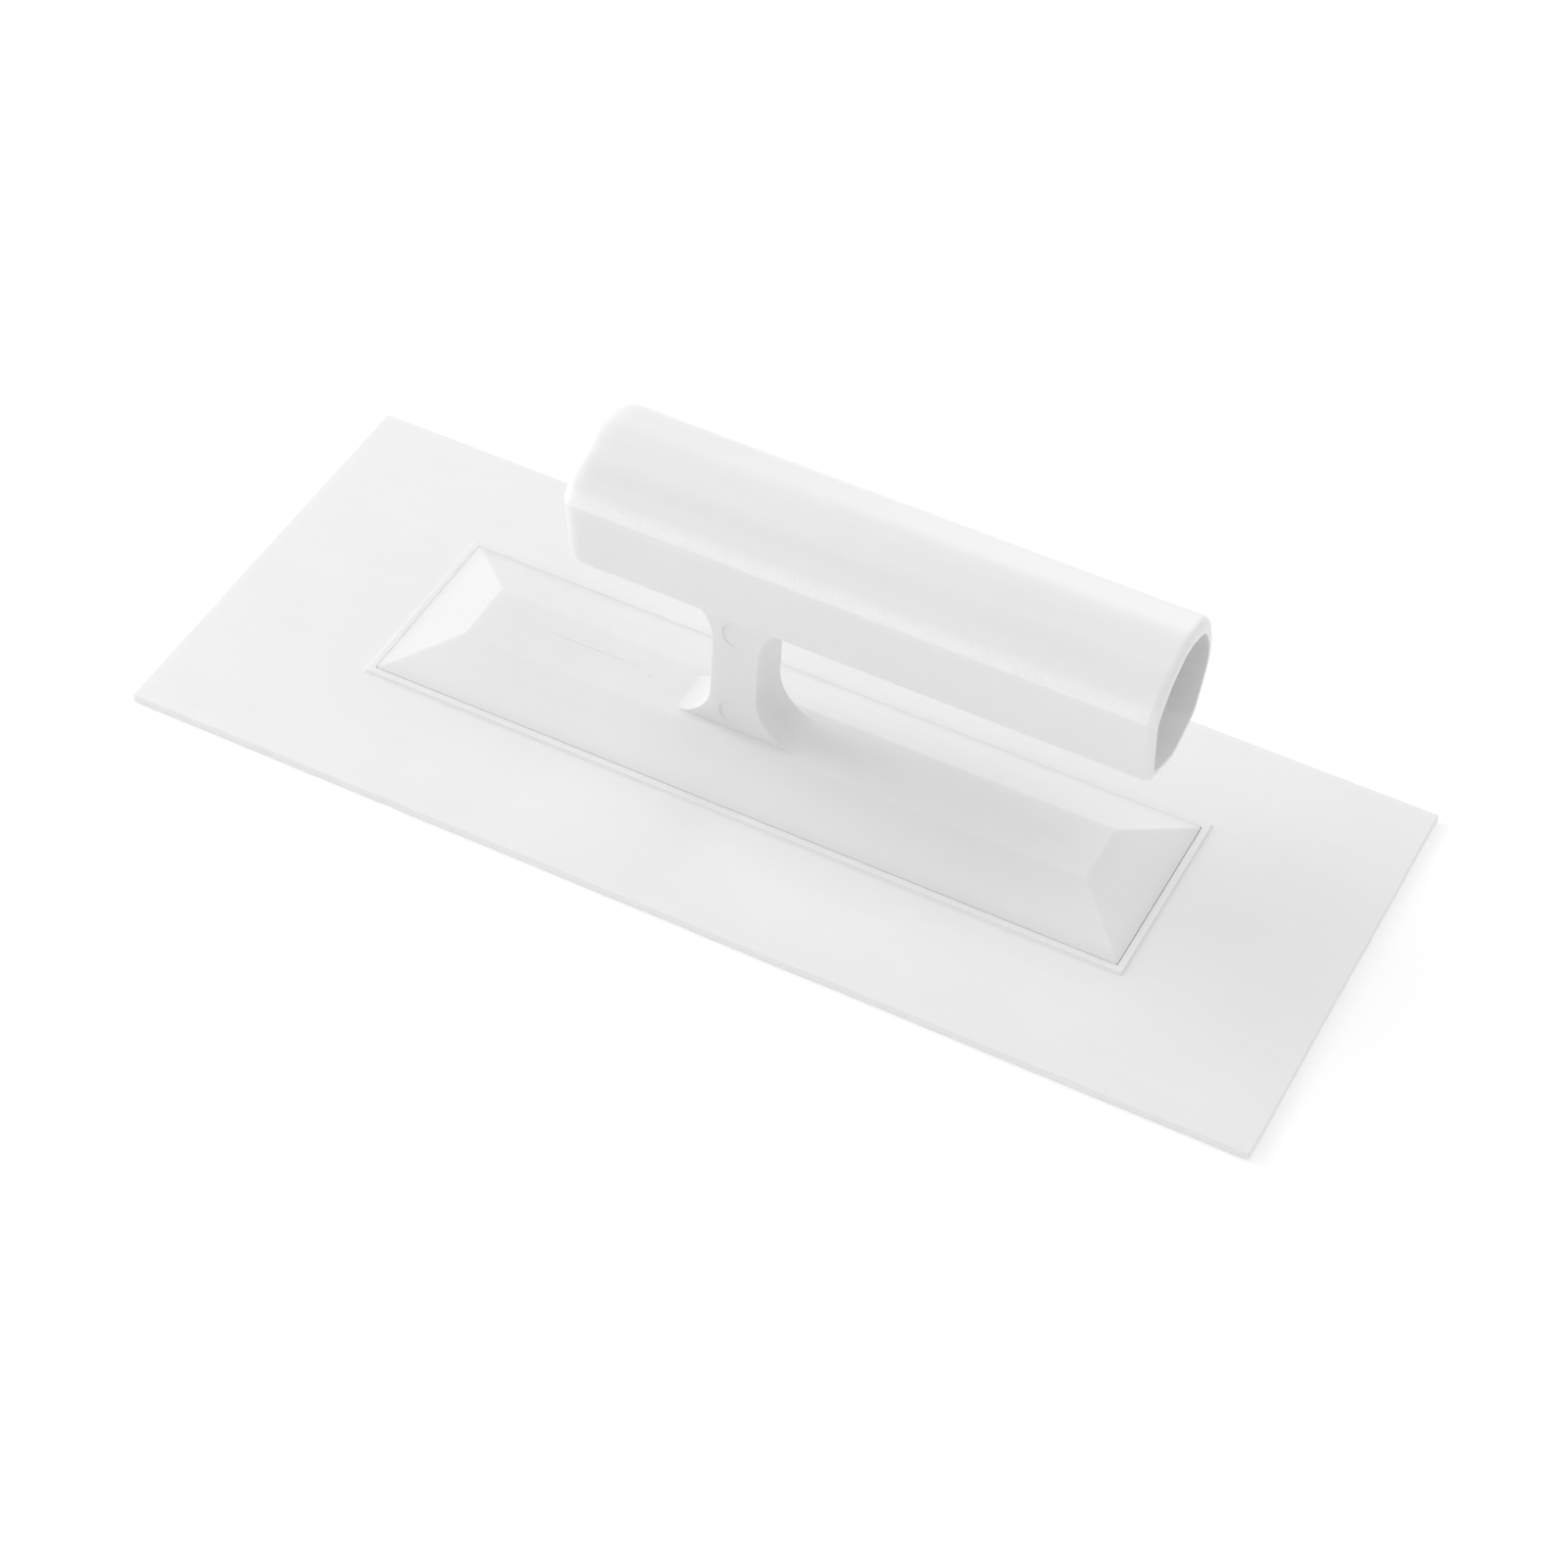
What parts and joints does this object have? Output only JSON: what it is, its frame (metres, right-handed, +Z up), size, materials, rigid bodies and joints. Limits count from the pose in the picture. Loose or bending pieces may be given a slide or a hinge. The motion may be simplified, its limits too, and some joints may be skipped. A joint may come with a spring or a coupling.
{
  "type": "plastering float",
  "caption": "Flat rectangular plastering float with a one-piece moulded handle: a hollow grip, open at one end, on a square post over a low ribbed base",
  "frame": {"origin": "middle of the blade's underside, the working face that rests on the work", "axes": "+X along the blade's length, towards the grip's open end; +Y across the blade, away from the viewer; +Z up, out of the blade towards the grip"},
  "size_m": [0.28, 0.115, 0.0802],
  "materials": {
    "blade_plastic": "white moulded sheet, satin, fine moulding texture",
    "handle_plastic": "white injection moulding, soft gloss",
    "adhesive": "clear set adhesive, hidden in the joint"
  },
  "bodies": {
    "root": {"blade": "blade_plastic", "handle": "handle_plastic", "perimeter_bond": "adhesive", "rib_bond": "adhesive"}
  },
  "joints": []
}
